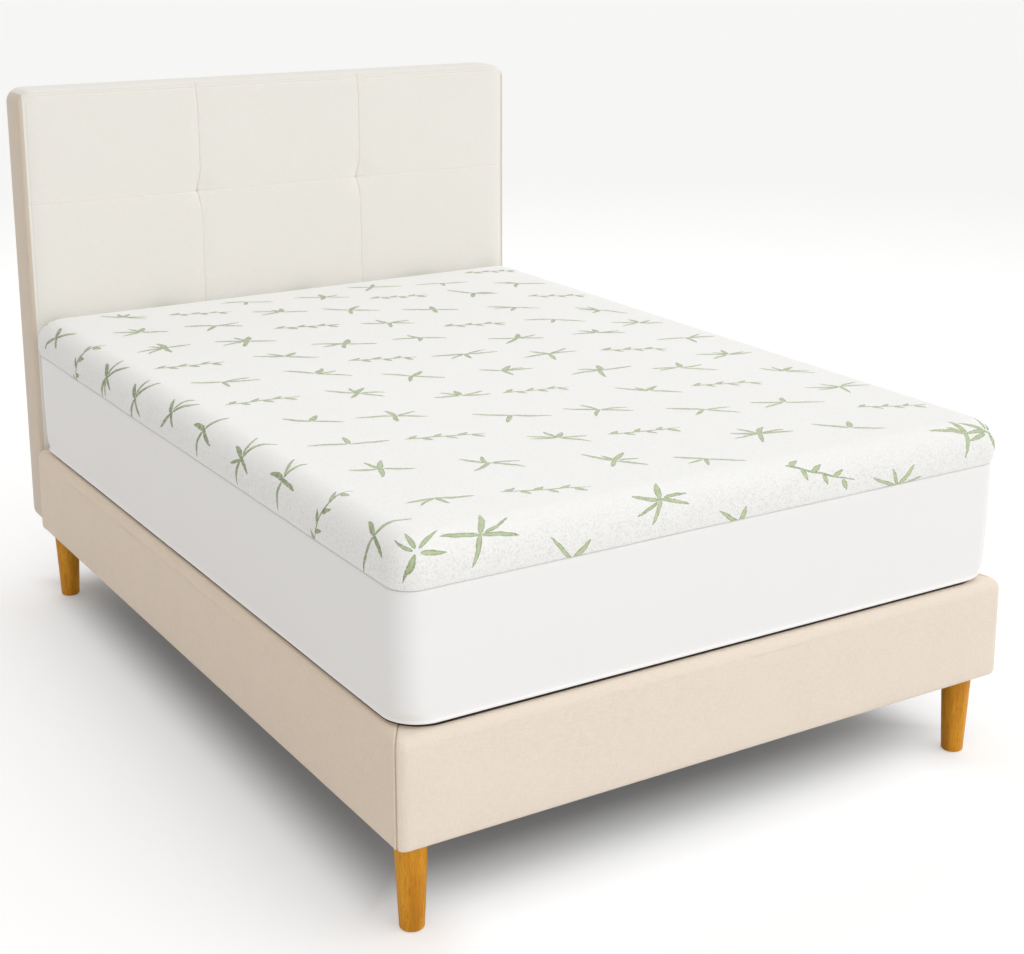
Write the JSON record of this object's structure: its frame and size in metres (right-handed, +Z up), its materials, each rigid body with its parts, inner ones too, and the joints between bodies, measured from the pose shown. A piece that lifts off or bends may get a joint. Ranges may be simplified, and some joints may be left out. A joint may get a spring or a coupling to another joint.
{
  "type": "mattress protector on a mattress and bed",
  "caption": "Fitted mattress protector with a leaf-print knit top and plain stretch skirt, on a thick mattress and an upholstered bed with padded headboard and tapered wooden legs.",
  "frame": {"origin": "on the floor, under the middle of the bed's overall length and width", "axes": "+X to the right as seen from the foot, +Y from the foot to the headboard, +Z up"},
  "size_m": [1.41, 2.0464, 1.291],
  "materials": {
    "printed_knit": "white pebbly knit with a soft green leaf-sprig print",
    "stretch_knit": "smooth plain white stretch knit",
    "mattress_ticking": "plain off-white woven ticking",
    "base_linen": "fine beige linen weave, padded",
    "headboard_linen": "fine ivory linen weave, padded, with sewn seams",
    "leg_wood": "golden oak, satin lacquer"
  },
  "bodies": {
    "root": {"protector_top_panel": "printed_knit", "protector_skirt": "stretch_knit", "mattress": "mattress_ticking", "bed_base": "base_linen", "headboard": "headboard_linen", "leg_front_left": "leg_wood", "leg_front_right": "leg_wood", "leg_back_left": "leg_wood", "leg_back_right": "leg_wood"}
  },
  "joints": []
}
